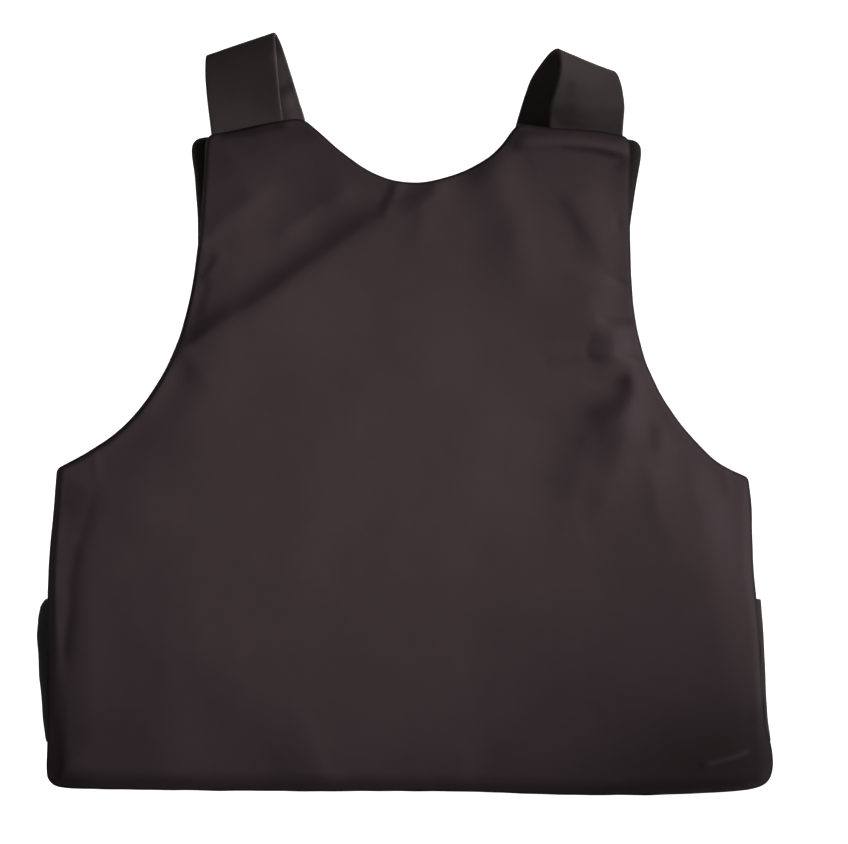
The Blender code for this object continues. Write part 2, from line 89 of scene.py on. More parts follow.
# How a CAD outline is smoothed: the step of its points, passes over its curves and over all of it, the turn
# in degrees that makes a corner, and how far round a corner only the last passes reach
SMOOTHING_STEP = 0.00125
CURVE_PASSES = 24
CORNER_PASSES = 4
SHARP_TURN = 25.0
CORNER_KEPT = 0.006

# How a CAD panel is read: the upward share of a normal above which a face counts for the outline, and the one
# below which it counts for the underside, how far in from the outline the underside's points lie, and over
# what reach a surface is fitted to them
OUTLINE_FACING = 0.15
UNDERSIDE_FACING = -0.5
UNDERSIDE_MARGIN = 0.0045
UNDERSIDE_REACH = 0.014
# What keeps a fit steady: a point's least weight, and what is added to the matrix
FIT_FLOOR = 1e-8
FIT_RIDGE = 1e-10
# How many points are worked on at once
RUN = 1000

# Mesh steps: along an outline, over the front's outer face, the back's inner face and hidden faces
RING_STEP = 0.0022
FRONT_STEP = 0.002
BACK_STEP = 0.0045
HIDDEN_STEP = 0.008
# What delaunay_2d_cdt keeps, and how near two of its points are one
INSIDE_ONLY = 1
SAME_POINT = 1e-8

Fold = namedtuple("Fold", "name left right height fade start end path step back", defaults=(0.0, 0.0))
# Folds of the front panel's cover. left and right are widths to both sides of the path. A valley's height is
# below 0. fade is how far beyond its ends a fold dies out, and start and end are its strength there. step is
# how much lower the cloth lies to the left of the path than to its right, and back is how far it takes to
# come up again
FOLDS = [Fold(*row) for row in (
    ("shoulder drape", 0.0085, 0.006, 0.0, 0.008, 0.85, 0.4, ((-0.153, 0.045), (-0.139, 0.056),
     (-0.127, 0.064), (-0.112, 0.071), (-0.095, 0.082), (-0.074, 0.098), (-0.052, 0.113), (-0.034, 0.126),
     (-0.018, 0.136), (-0.002, 0.147), (0.016, 0.157)), 0.0042, 0.055),
    ("shoulder drape slope", 0.015, 0.026, 0.0026, 0.012, 0.9, 0.4, ((-0.15, 0.043), (-0.126, 0.061),
     (-0.111, 0.067), (-0.093, 0.077), (-0.073, 0.094), (-0.051, 0.109), (-0.032, 0.121), (-0.015, 0.132),
     (0.001, 0.141), (0.019, 0.151)), 0.003, 0.09),
    ("neck crease left", 0.004, 0.005, 0.0015, 0.0067, 0.5, 1.0, ((-0.013, 0.143), (-0.009, 0.152),
     (-0.006, 0.161))),
    ("neck crease right", 0.008, 0.005, 0.0014, 0.0097, 0.3, 1.0, ((-0.003, 0.138), (0.007, 0.145),
     (0.02, 0.155))),
    ("neck ridge", 0.008, 0.009, 0.0007, 0.0127, 1.0, 1.0, ((0.01, 0.127), (0.012, 0.141))),
    ("shoulder wrinkle", 0.01, 0.009, 0.0026, 0.0143, 0.8, 0.8, ((-0.14, 0.121), (-0.127, 0.135),
     (-0.108, 0.149))),
    ("second shoulder wrinkle", 0.008, 0.007, 0.0019, 0.0112, 0.7, 0.8, ((-0.082, 0.129), (-0.063, 0.143),
     (-0.046, 0.153))),
    ("left armhole nick", 0.003, 0.004, 0.0008, 0.0053, 1.0, 0.4, ((-0.139, 0.097), (-0.131, 0.108))),
    ("left armhole puff", 0.005, 0.012, 0.0011, 0.0127, 0.8, 0.8, ((-0.138, 0.077), (-0.134, 0.089),
     (-0.131, 0.103))),
    ("right neck ridge", 0.027, 0.018, 0.0048, 0.0338, 0.6, 1.0, ((0.075, 0.12), (0.073, 0.137),
     (0.067, 0.151), (0.063, 0.166), (0.061, 0.172))),
    ("shoulder band", 0.0055, 0.0032, 0.003, 0.0065, 0.7, 1.0, ((0.081, 0.188), (0.096, 0.189),
     (0.115, 0.189), (0.134, 0.187), (0.15, 0.183))),
    ("right shoulder slope", 0.03, 0.034, 0.0022, 0.048, 0.5, 1.0, ((0.104, 0.121), (0.104, 0.183))),
    ("chest ridge", 0.008, 0.017, 0.003, 0.01, 0.4, 0.6, ((0.136, 0.114), (0.129, 0.126), (0.123, 0.137),
     (0.117, 0.147))),
    ("chest dimple", 0.0025, 0.0025, -0.0006, 0.0037, 1.0, 1.0, ((0.147, 0.131), (0.147, 0.136))),
    ("arm puff", 0.022, 0.013, 0.002, 0.008, 0.8, 0.9, ((0.129, 0.061), (0.128, 0.076), (0.132, 0.09))),
    ("arm puff brow", 0.003, 0.003, -0.0008, 0.0045, 0.7, 1.0, ((0.128, 0.095), (0.139, 0.097),
     (0.15, 0.091))),
    ("right armhole nick", 0.0024, 0.0024, -0.0009, 0.0036, 0.6, 1.0, ((0.137, 0.066), (0.145, 0.064),
     (0.155, 0.064))),
    ("pocket", 0.011, 0.012, 0.0026, 0.006, 0.9, 0.9, ((0.143, 0.042), (0.144, 0.048), (0.143, 0.054))),
    ("pocket foot", 0.002, 0.003, -0.0005, 0.0037, 0.7, 0.7, ((0.125, 0.041), (0.125, 0.048),
     (0.128, 0.055))),
    ("pocket tail", 0.004, 0.004, -0.0009, 0.006, 0.5, 0.8, ((0.096, 0.038), (0.114, 0.038),
     (0.128, 0.037))),
    ("pocket sill", 0.0024, 0.0026, -0.0008, 0.0037, 0.7, 1.0, ((0.152, 0.04), (0.162, 0.037))),
    ("armhole flare", 0.02, 0.026, 0.0018, 0.012, 0.2, 0.7, ((0.137, -0.073), (0.143, -0.052),
     (0.149, -0.033), (0.152, -0.018)), 0.0036, 0.05),
    ("armhole dent", 0.009, 0.009, 0.002, 0.006, 0.3, 0.85, ((0.125, -0.016), (0.138, -0.009), (0.15, 0.0),
     (0.156, 0.009), (0.158, 0.017), (0.157, 0.025)), 0.0028, 0.026),
    ("armhole slope", 0.03, 0.02, 0.0, 0.018, 0.7, 0.6, ((0.137, -0.059), (0.147, -0.028), (0.152, -0.007)),
     0.0042, 0.06),
    ("first fan ridge", 0.008, 0.009, 0.0012, 0.0127, 0.3, 0.5, ((0.12, -0.082), (0.116, -0.068),
     (0.116, -0.052), (0.12, -0.036))),
    ("left fan ridge", 0.007, 0.01, 0.0008, 0.0127, 0.4, 0.5, ((0.108, -0.08), (0.106, -0.068),
     (0.107, -0.058))),
    ("third fan ridge", 0.007, 0.01, 0.0012, 0.0127, 0.3, 0.8, ((0.179, -0.079), (0.175, -0.065),
     (0.173, -0.052), (0.17, -0.044))),
    ("fourth fan ridge", 0.008, 0.01, 0.0012, 0.0135, 0.5, 0.8, ((0.206, -0.073), (0.203, -0.059),
     (0.201, -0.047))),
    ("fan spot", 0.005, 0.012, 0.0008, 0.005, 0.9, 0.8, ((0.177, -0.023), (0.177, -0.016),
     (0.175, -0.009))),
    ("fan nick", 0.004, 0.003, 0.0008, 0.0053, 0.8, 1.0, ((0.224, -0.05), (0.223, -0.041))),
    ("side swell", 0.05, 0.03, 0.0036, 0.06, 0.8, 0.5, ((0.245, -0.129), (0.204, -0.108), (0.182, -0.08),
     (0.169, -0.059))),
    ("low right swell", 0.07, 0.016, 0.005, 0.0645, 1.2, 0.6, ((0.238, -0.268), (0.234, -0.219),
     (0.222, -0.164), (0.207, -0.101))),
    ("hem wrinkle", 0.003, 0.0018, 0.0018, 0.0036, 0.7, 0.8, ((0.208, -0.243), (0.218, -0.241),
     (0.228, -0.238), (0.236, -0.235))),
    ("left edge crease", 0.005, 0.005, -0.0005, 0.0075, 1.0, 0.6, ((-0.239, -0.176), (-0.238, -0.157),
     (-0.235, -0.136), (-0.233, -0.118), (-0.23, -0.096), (-0.225, -0.077), (-0.219, -0.059))),
    ("left chest swell", 0.075, 0.15, 0.0012, 0.06, 1.0, 1.0, ((-0.088, -0.101), (-0.074, 0.01))),
    ("left armhole roll", 0.015, 0.042, 0.0006, 0.0428, 0.6, 0.4, ((-0.21, -0.044), (-0.199, -0.039),
     (-0.185, -0.03), (-0.174, -0.021), (-0.163, -0.007), (-0.151, 0.01))),
    ("left corner notch", 0.003, 0.003, 0.0003, 0.0045, 1.0, 1.0, ((-0.216, -0.039), (-0.217, -0.026))),
    ("lower left sweep", 0.026, 0.06, 0.0034, 0.04, 0.9, 0.7, ((-0.072, -0.233), (-0.1, -0.201),
     (-0.128, -0.176), (-0.153, -0.154))),
    ("hem fold", 0.012, 0.007, 0.0008, 0.0143, 1.0, 0.4, ((-0.057, -0.254), (-0.064, -0.232),
     (-0.072, -0.212))),
    ("second hem fold", 0.01, 0.009, 0.0005, 0.0143, 1.0, 0.4, ((0.039, -0.255), (0.037, -0.233),
     (0.04, -0.215))),
    ("lower left swell", 0.015, 0.015, 0.0004, 0.0225, 0.8, 0.8, ((-0.168, -0.176), (-0.178, -0.157),
     (-0.193, -0.144))),
    ("low corner swell", 0.042, 0.046, 0.003, 0.014, 1.0, 0.4, ((-0.163, -0.268), (-0.168, -0.229),
     (-0.172, -0.209))),
    ("lower middle hollow", 0.06, 0.06, -0.0022, 0.09, 0.7, 0.6, ((0.044, -0.254), (0.051, -0.101))),
    ("middle sweep", 0.02, 0.02, 0.0008, 0.03, 0.5, 0.5, ((0.009, 0.058), (-0.032, 0.01), (-0.066, -0.045),
     (-0.08, -0.101))),
)]
Shade = namedtuple("Shade", "name reach depth path")
# Painted shade on the front panel's cover, in creases, next to seams and where less of the key light falls,
# and painted highlights on lit ridges where the depth is below 0: how far the tone reaches, and how deep it
# is
PAINTED_SHADES = [Shade(*row) for row in (
    ("left strap seam", 0.0034, 0.5, ((-0.128, 0.195), (-0.108, 0.198), (-0.088, 0.202))),
    ("left strap base", 0.009, 0.24, ((-0.081, 0.197), (-0.07, 0.197))),
    ("left shoulder corner", 0.022, 0.2, ((-0.138, 0.183), (-0.108, 0.191))),
    ("shoulder drape", 0.009, 0.2, ((-0.125, 0.072), (-0.1, 0.088), (-0.075, 0.106), (-0.05, 0.124),
     (-0.028, 0.138))),
    ("left neck fork", 0.003, 0.15, ((-0.017, 0.146), (-0.011, 0.157))),
    ("second neck fork", 0.008, 0.1, ((-0.002, 0.143), (0.016, 0.154))),
    ("right strap seam", 0.0045, 0.34, ((0.079, 0.197), (0.107, 0.197), (0.134, 0.195), (0.147, 0.193))),
    ("neckline corner", 0.009, 0.36, ((0.072, 0.191), (0.059, 0.178), (0.047, 0.168))),
    ("shoulder band", 0.004, -0.2, ((0.087, 0.191), (0.107, 0.191), (0.128, 0.19), (0.148, 0.186))),
    ("shoulder band crease", 0.0022, 0.24, ((0.11, 0.186), (0.128, 0.184), (0.143, 0.181))),
    ("shoulder corner", 0.0045, 0.28, ((0.149, 0.173), (0.152, 0.175))),
    ("neck hollow", 0.012, 0.16, ((0.051, 0.16), (0.057, 0.143), (0.064, 0.125))),
    ("chest fold", 0.006, 0.14, ((0.113, 0.145), (0.119, 0.134), (0.126, 0.124))),
    ("beside the chest fold", 0.008, -0.1, ((0.136, 0.149), (0.139, 0.129))),
    ("armhole brow", 0.003, 0.2, ((0.143, 0.064), (0.154, 0.064))),
    ("above the dent", 0.01, 0.12, ((0.136, 0.031), (0.14, 0.02))),
    ("left chest", 0.055, 0.07, ((-0.079, -0.101), (-0.067, -0.018))),
    ("pocket", 0.008, 0.15, ((0.132, 0.052), (0.132, 0.043))),
    ("beside the pocket", 0.008, -0.05, ((0.145, 0.048), (0.155, 0.048))),
    ("pocket tail", 0.004, 0.12, ((0.1, 0.037), (0.12, 0.037))),
    ("armhole dent", 0.008, 0.32, ((0.151, 0.021), (0.148, 0.012), (0.143, 0.007), (0.13, 0.002))),
    ("below the dent", 0.016, 0.14, ((0.136, -0.007), (0.13, -0.013), (0.123, -0.018))),
    ("left of the dent", 0.015, 0.15, ((0.108, -0.003), (0.105, -0.044))),
    ("fan light", 0.014, -0.15, ((0.134, -0.048), (0.151, -0.037))),
    ("armhole light", 0.008, -0.08, ((0.157, 0.002), (0.156, -0.011))),
    ("fan spot", 0.005, 0.2, ((0.173, -0.012), (0.172, -0.02))),
    ("low right", 0.062, 0.2, ((0.162, -0.257), (0.238, -0.223))),
    ("hem corner", 0.03, 0.22, ((0.197, -0.243), (0.232, -0.233))),
    ("right edge", 0.009, 0.34, ((0.25, -0.209), (0.252, -0.247))),
    ("left edge crease", 0.0034, 0.26, ((-0.237, -0.167), (-0.233, -0.139), (-0.233, -0.118),
     (-0.229, -0.094))),
    ("left hem corner", 0.013, 0.32, ((-0.246, -0.247), (-0.235, -0.258))),
    ("hem", 0.0055, 0.26, ((-0.24, -0.257), (-0.143, -0.259), (-0.004, -0.26), (0.134, -0.263),
     (0.232, -0.26))),
    ("low left corner", 0.03, 0.12, ((-0.223, -0.229), (-0.199, -0.223))),
    ("left corner", 0.026, 0.18, ((-0.207, -0.063), (-0.171, -0.026))),
    ("hem wrinkle", 0.0017, -0.8, ((0.211, -0.243), (0.218, -0.241), (0.228, -0.238), (0.236, -0.235))),
)]
# How sharp a fold is, how soft a step's start, how many widths or ways back off both still count, and the
# points to a span of a path
FOLD_POWER = 1.7
STEP_POWER = 1.5
FOLD_EXTENT = 3.5
STEP_EXTENT = 2.5
PATH_SPAN = 6

# Soft unevenness of the cover: wavelengths and heights, the back's share of it, how far in from the outline
# it starts and over what span it grows, and what brings noise to about -1 to 1
MOTTLE = ((0.075, 0.0008), (0.034, 0.00022), (0.014, 0.00004))
BACK_MOTTLE = 0.6
MOTTLE_START = 0.002
MOTTLE_SPAN = 0.012
NOISE_GAIN = 1.6
# Puckers along a sewn edge: wavelength, depth and row of the noise, and how far in they reach
PUCKERS = ((0.013, 0.0003, 0.3), (0.00585, 0.00014, 0.7))
PUCKER_REACH = 0.01
# Seeds of the noise
FRONT_SEED, BACK_SEED = 1.0, 2.0
FRONT_MOTTLE_SEED, BACK_MOTTLE_SEED = 3.0, 9.0
LEFT_SEED, RIGHT_SEED, SIDE_SEED = 11.0, 12.0, 5.0

# Shoulder straps, as in the CAD: x, y, z of the left edge and of the right one, from the front panel round to
# the back one
STRAP_WIDTH = 0.051
STRAP_THICKNESS = 0.0025
FRONT_Z = 0.01905
BACK_Z = 0.01405
LEFT_STRAP = (
    (-0.136, 0.1747, FRONT_Z, -0.085, 0.1773, FRONT_Z),
    (-0.1372, 0.1955, FRONT_Z, -0.0864, 0.2025, FRONT_Z),
    (-0.1396, 0.2163, 0.0215, -0.0885, 0.2217, 0.027),
    (-0.1412, 0.235, 0.0225, -0.0902, 0.244, 0.0345),
    (-0.1414, 0.2479, 0.02, -0.0916, 0.26, 0.0335),
    (-0.1408, 0.2519, 0.014, -0.0919, 0.2671, 0.0245),
    (-0.1368, 0.2445, 0.0075, -0.0885, 0.2615, 0.014),
    (-0.1298, 0.2245, 0.0053, -0.082, 0.2415, 0.0075),
    (-0.124, 0.2051, 0.0092, -0.0757, 0.2209, 0.0092),
    (-0.1204, 0.1928, BACK_Z, -0.0712, 0.2052, BACK_Z),
    (-0.1173, 0.1645, BACK_Z, -0.0667, 0.1715, BACK_Z),
)
RIGHT_STRAP = (
    (0.1017, 0.176, FRONT_Z, 0.1527, 0.174, FRONT_Z),
    (0.1003, 0.1985, FRONT_Z, 0.152, 0.1955, FRONT_Z),
    (0.1, 0.208, 0.0235, 0.1524, 0.206, 0.0225),
    (0.1012, 0.218, 0.0305, 0.1527, 0.216, 0.0275),
    (0.1049, 0.23, 0.0355, 0.1513, 0.227, 0.0265),
    (0.1069, 0.239, 0.037, 0.1495, 0.235, 0.022),
    (0.1072, 0.247, 0.036, 0.1478, 0.2395, 0.0165),
    (0.106, 0.254, 0.0325, 0.1462, 0.2408, 0.0115),
    (0.1035, 0.2556, 0.0255, 0.144, 0.237, 0.0075),
    (0.0985, 0.252, 0.0175, 0.1415, 0.232, 0.0055),
    (0.0888, 0.2389, 0.009, 0.137, 0.2231, 0.0055),
    (0.0838, 0.2265, 0.0075, 0.1322, 0.211, 0.0072),
    (0.079, 0.211, 0.0105, 0.1276, 0.1998, 0.0105),
    (0.076, 0.2, BACK_Z, 0.1255, 0.19, BACK_Z),
    (0.07, 0.175, BACK_Z, 0.1195, 0.164, BACK_Z),
)
# Wrinkles of a strap: how far along it, 0 to 1, and across it, -1 to 1, reach along and across, and height
LEFT_WRINKLES = (
    (0.2, 0.0, 0.01, 0.03, 0.0008),
    (0.68, 0.6, 0.004, 0.012, -0.0014),
    (0.74, 0.5, 0.008, 0.014, 0.0012),
)
RIGHT_WRINKLES = (
    (0.16, -0.6, 0.012, 0.012, 0.0008),
    (0.26, -0.3, 0.006, 0.006, -0.0005),
)
# Painted shade and painted light on a strap's cloth, darker or paler as in PAINTED_SHADES
LEFT_STRAP_SHADES = (
    Shade("rear foot", 0.0055, -0.95, ((-0.078, 0.208), (-0.082, 0.223))),
    Shade("rear middle", 0.005, -0.8, ((-0.085, 0.235), (-0.089, 0.249))),
)
RIGHT_STRAP_SHADES = (
    Shade("front foot", 0.008, -0.22, ((0.13, 0.212), (0.147, 0.212))),
    Shade("short crease", 0.004, 0.22, ((0.115, 0.229), (0.115, 0.225))),
    Shade("inner foot", 0.004, 0.2, ((0.105, 0.211), (0.111, 0.205))),
)
# Points to a span of a strap's curve, along it in all, and across it
STRAP_SPAN = 16
STRAP_ROWS = 150
STRAP_COLUMNS = 34
# The hem along a strap's edge: its width, how it eases off, and what share of half the thickness it adds
HEM_WIDTH = 0.005
HEM_END = 0.002
HEM_RISE = 0.05
# A strap's unevenness: wavelength along and across, and height
UNEVEN_ALONG, UNEVEN_ACROSS, UNEVEN_HEIGHT = 0.02, 0.015, 0.00025

# Side straps, as in the CAD: y, how far out the left one reaches, and the right one. The left one's upper
# corner is cut slantwise
SIDE_THICKNESS = 0.002
SIDE_REACH = (
    (-0.2305, 0.2532, 0.2556),
    (-0.224, 0.254, 0.255),
    (-0.214, 0.2554, 0.2536),
    (-0.2, 0.2565, 0.2524),
    (-0.185, 0.258, 0.2521),
    (-0.17, 0.2586, 0.2513),
    (-0.156, 0.2599, 0.2506),
    (-0.143, 0.2589, 0.2497),
    (-0.135, 0.2572, 0.249),
    (-0.13, 0.2535, 0.2485),
)
# The bend round the panels' side: how far in from the reach, and z. Then where the strap lies under each
# panel, and how far it hangs below it
SIDE_BEND = ((0.0085, 0.0206), (0.0017, 0.018), (0.0, 0.0145), (0.0017, 0.011), (0.0085, 0.0086))
SIDE_FRONT_X = (0.212, 0.224, 0.236)
SIDE_BACK_X = (0.236, 0.226, 0.214, 0.202, 0.189, 0.177)
SIDE_CLEAR = 0.0015
SIDE_ROWS = 90

# Painted shade along a panel's sewn edge, where the seam's groove lies in shadow: the tone there, up to how
# far in it holds, and where it ends
RIM_SHADE_TONE = 0.45
RIM_START = 0.0006
RIM_END = 0.0026

# Cloths: colours, the weave's period and depth, each noise's scale and detail, and the shares of the tone
COVER_COLOUR = (0.036, 0.0255, 0.028)
BACK_COLOUR = (0.0148, 0.0116, 0.0109)
STRAP_COLOUR = (0.0395, 0.0325, 0.0312)
SIDE_COLOUR = (0.032, 0.0262, 0.0258)
WEAVE_PERIOD = 0.0006
WEAVE_DEPTH = 0.00006
BROAD_NOISE = (11.0, 3.0)
SMALL_NOISE = (90.0, 4.0)
LINT_NOISE = (1400.0, 2.0)
SLUB_NOISE = (260.0, 3.0)
BROAD_SHARE, SMALL_SHARE, LINT_SHARE, WEAVE_SHARE = 0.16, 0.12, 0.1, 0.1
# The tones at which a cloth is darkest and palest, and how dark and pale that is, as shares of its colour
TONE_SPAN = (0.08, 0.4)
TONE_SHARES = (0.8, 1.18)
ROUGHNESS = 0.72
ROUGHNESS_CHANGE = 0.16
BUMP_STRENGTH = 0.6
CLOTH_SPECULAR = 0.04
# The period of Blender's wave texture at scale 1
WAVE_PERIOD = math.pi / 10

# Camera: where it is over the vest, its lens and its sensor's width, in millimetres, and how far it sees
CAMERA_PLACE = (0.01225, -0.00525, 2.0)
CAMERA_LENS = 119.6
SENSOR_WIDTH = 36.0
CLIP_END = 100.0

# Key light: where it stands, what it aims at, its size, the radius of its pool of light and its power
KEY_AZIMUTH = 10.0
KEY_ELEVATION = 24.0
KEY_DISTANCE = 4.2
KEY_AIM = (-0.28, -0.055, 0.0)
KEY_SIZE = 0.6
KEY_POOL = 0.378
KEY_POWER = 2720.0
# A weak light from the left that fills the shadows, the floor's own light, and how far off both stand
FILL = 0.95
FILL_ANGLE = 0.9
FILL_AZIMUTH = 185.0
FILL_ELEVATION = 30.0
FLOOR_LIGHT = 8.0
FLOOR_LIGHT_ANGLE = 1.6
FLOOR_LIGHT_AZIMUTH = 90.0
FLOOR_LIGHT_ELEVATION = 80.0
SUN_DISTANCE = 3.0
# The sky's strength low down and high up, and between which upward shares of a direction it changes
SKY = (0.12, 0.2)
SKY_SPAN = (-0.05, 0.6)
# The floor: its height, just under the vest, half its width, and its look
FLOOR_Z = -0.0003
FLOOR_REACH = 12.0
FLOOR_COLOUR = (0.93, 0.93, 0.93, 1.0)
FLOOR_ROUGHNESS = 0.9
FLOOR_SPECULAR = 0.1


def ease(share):
    """0 up to 0, 1 from 1 on, and smooth between them."""
    share = np.clip(share, 0.0, 1.0)
    return share * share * (3 - 2 * share)


def smooth_curve(points, per_span):
    """A smooth curve through rows of numbers: a spline through all of them, per_span points to a span."""
    rows = np.asarray(points, float)
    rows = np.vstack([2 * rows[0] - rows[1], rows, 2 * rows[-1] - rows[-2]])
    t = np.linspace(0, 1, per_span, endpoint=False)[:, None]
    spans = []
    for a, b, c, d in zip(rows, rows[1:], rows[2:], rows[3:]):
        cubic = (3 * b - 3 * c + d - a) * t**3 + (2 * a - 5 * b + 4 * c - d) * t**2
        spans.append(b + 0.5 * ((c - a) * t + cubic))
    return np.vstack([*spans, rows[-2:-1]])


def travel(points, dimensions):
    """The distance along a run of points, from its start to each of them."""
    steps = np.linalg.norm(np.diff(points[:, :dimensions], axis=0), axis=1)
    return np.concatenate([[0.0], np.cumsum(steps)])


def resampled(points, count, dimensions):
    """A run of points as count rows, evenly apart."""
    along = travel(points, dimensions)
    places = np.linspace(0, along[-1], count)
    return np.column_stack([np.interp(places, along, column) for column in points.T])


def node_shape(name):
    """A CAD node's points, each once, and its triangles."""
    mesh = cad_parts[name].data
    points = np.zeros(len(mesh.vertices) * 3)
    mesh.vertices.foreach_get("co", points)
    merged, index = np.unique(points.reshape(-1, 3).round(6), axis=0, return_inverse=True)
    triangles = np.array([polygon.vertices[:] for polygon in mesh.polygons])
    return merged, index.reshape(-1)[triangles]


def facing(points, triangles):
    """The upward share of each triangle's normal."""
    a, b, c = (points[triangles[:, k]] for k in range(3))
    normals = np.cross(b - a, c - a)
    return normals[:, 2] / np.linalg.norm(normals, axis=1)


def plan_outline(points, triangles):
    """A panel's outline seen from above, anticlockwise, smoothed, as points RING_STEP apart."""
    up = triangles[facing(points, triangles) > OUTLINE_FACING]
    edges = {(face[k], face[(k + 1) % 3]) for face in up.tolist() for k in range(3)}
    following = {a: b for a, b in edges if (b, a) not in edges}
    chain = [min(following)]
    while following[chain[-1]] != chain[0]:
        chain.append(following[chain[-1]])
    loop = points[chain + chain[:1], :2]
    before = loop[:-1] - np.roll(loop[:-1], 1, axis=0)
    after = loop[1:] - loop[:-1]
    cosine = (before * after).sum(axis=1) / (np.linalg.norm(before, axis=1) * np.linalg.norm(after, axis=1))
    corners = loop[:-1][cosine < math.cos(math.radians(SHARP_TURN))]
    fine = resampled(loop, round(travel(loop, 2)[-1] / SMOOTHING_STEP) + 1, 2)[:-1]
    away = np.linalg.norm(fine[:, None, :] - corners[None, :, :], axis=2).min(axis=1)
    free = (away > CORNER_KEPT)[:, None]
    for number in range(CURVE_PASSES + CORNER_PASSES):
        smoother = (np.roll(fine, 1, axis=0) + 2 * fine + np.roll(fine, -1, axis=0)) / 4
        fine = np.where(free | (number >= CURVE_PASSES), smoother, fine)
    closed = np.vstack([fine, fine[:1]])
    return resampled(closed, round(travel(closed, 2)[-1] / RING_STEP) + 1, 2)[:-1]


def inset(loop, distance):
    """An anticlockwise loop moved inwards, by one distance or by one for each point."""
    along = np.roll(loop, -1, axis=0) - np.roll(loop, 1, axis=0)
    along /= np.linalg.norm(along, axis=1)[:, None]
    return loop + np.column_stack([-along[:, 1], along[:, 0]]) * np.reshape(distance, (-1, 1))


def inside(loop, points):
    """Which points lie inside a closed loop, by counting the sides that a ray to +X crosses."""
    found = np.zeros(len(points), bool)
    x0, y0 = loop.T
    x1, y1 = np.roll(loop, -1, axis=0).T
    rise = np.where(y1 == y0, 1.0, y1 - y0)
    for start in range(0, len(points), RUN):
        run = slice(start, start + RUN)
        x, y = points[run, :1], points[run, 1:2]
        crossing = ((y0 > y) != (y1 > y)) & (x < x0 + (y - y0) * (x1 - x0) / rise)
        found[run] = crossing.sum(axis=1) % 2 == 1
    return found


class Outline:
    """A panel's outline, which says how far in from it a point lies, and at what place along it."""

    def __init__(self, loop):
        self.loop = loop
        closed = np.vstack([loop, loop[:1]])
        self.length = travel(closed, 2)[-1]
        self.fine = resampled(closed, 2 * len(loop) + 1, 2)[:-1]
        self.tree = KDTree(len(self.fine))
        for number, (x, y) in enumerate(self.fine):
            self.tree.insert((x, y, 0.0), number)
        self.tree.balance()

    def look_up(self, points):
        """Each point's distance from the outline, and its nearest place along it."""
        points = np.asarray(points)
        nearest = np.array([self.tree.find((x, y, 0.0))[1] for x, y in points])
        count = len(self.fine)
        best = np.full(len(points), np.inf)
        place = np.zeros(len(points))
        for step in (-1, 0):
            start = (nearest + step) % count
            onwards = self.fine[(start + 1) % count] - self.fine[start]
            offset = points - self.fine[start]
            share = np.clip((offset * onwards).sum(axis=1) / (onwards**2).sum(axis=1), 0, 1)
            away = np.linalg.norm(offset - share[:, None] * onwards, axis=1)
            closer = away < best
            best = np.where(closer, away, best)
            place = np.where(closer, (start + share) * self.length / count, place)
        return best, place


def fitted_surface(known, reach):
    """A function that gives heights at points: round each one, a quadratic fitted to the known points."""

    def heights(points):
        found = np.empty(len(points))
        for start in range(0, len(points), RUN):
            run = slice(start, start + RUN)
            at = points[run]
            dx = (known[None, :, 0] - at[:, :1]) / reach
            dy = (known[None, :, 1] - at[:, 1:2]) / reach
            weight = np.exp(-(dx**2 + dy**2) / 2) + FIT_FLOOR
            basis = np.stack([np.ones_like(dx), dx, dy, dx * dx, dx * dy, dy * dy], axis=1)
            weighted = basis * weight[:, None, :]
            matrix = weighted @ basis.transpose(0, 2, 1) + FIT_RIDGE * np.eye(basis.shape[1])
            right = weighted @ known[:, 2]
            found[run] = np.linalg.solve(matrix, right[:, :, None])[:, 0, 0]
        return found

    return heights


def waves(points, wavelength, seed):
    """Smooth noise from about -1 to 1 over points."""
    scaled = points / wavelength
    return np.array([noise.noise((x, y, seed)) for x, y in scaled]) * NOISE_GAIN


def noise_along(places, wavelength, row, seed):
    """Smooth noise at places along a line, in one row of the noise."""
    return np.array([noise.noise((place / wavelength, row, seed)) for place in places])


def nearest_on(line, points):
    """For each point: how far along a line its nearest place is, 0 to 1, how far it lies to the line's left,
    and how far beyond the line's ends."""
    start, onwards = line[:-1], np.diff(line, axis=0)
    length = np.linalg.norm(onwards, axis=1)
    offset = points[:, None, :] - start[None, :, :]
    share = (offset * onwards).sum(axis=2) / length**2
    away = np.linalg.norm(offset - np.clip(share, 0, 1)[:, :, None] * onwards, axis=2)
    nearest = away.argmin(axis=1)
    rows = np.arange(len(points))
    share, offset = share[rows, nearest], offset[rows, nearest]
    direction = onwards[nearest] / length[nearest][:, None]
    side = direction[:, 0] * offset[:, 1] - direction[:, 1] * offset[:, 0]
    beyond = np.where(nearest == 0, np.clip(-share, 0, None), 0)
    beyond = beyond + np.where(nearest == len(start) - 1, np.clip(share - 1, 0, None), 0)
    return (nearest + np.clip(share, 0, 1)) / len(start), side, beyond * length[nearest]


def fold_height(points):
    """How far the folds raise or lower the front panel's outer face at each point."""
    total = np.zeros(len(points))
    for fold in FOLDS:
        line = smooth_curve(fold.path, PATH_SPAN)
        mean = (fold.left + fold.right) / 2
        reach = STEP_EXTENT * fold.back + FOLD_EXTENT * max(fold.left, fold.right)
        low, high = line.min(axis=0) - reach, line.max(axis=0) + reach
        near = np.flatnonzero(((points > low) & (points < high)).all(axis=1))
        share, side, beyond = nearest_on(line, points[near])
        strength = (fold.start + (fold.end - fold.start) * share) * np.exp(-((beyond / fold.fade) ** 2))
        width = fold.right + (fold.left - fold.right) * (0.5 + 0.5 * np.tanh(side / (0.5 * mean)))
        total[near] += fold.height * strength * np.exp(-((np.abs(side) / width) ** FOLD_POWER))
        if fold.step:
            lower = np.clip(side, 0, None)
            drop = (1 - np.exp(-((lower / fold.left) ** STEP_POWER))) * np.exp(-((lower / fold.back) ** 2))
            total[near] -= fold.step * strength * drop
    return total


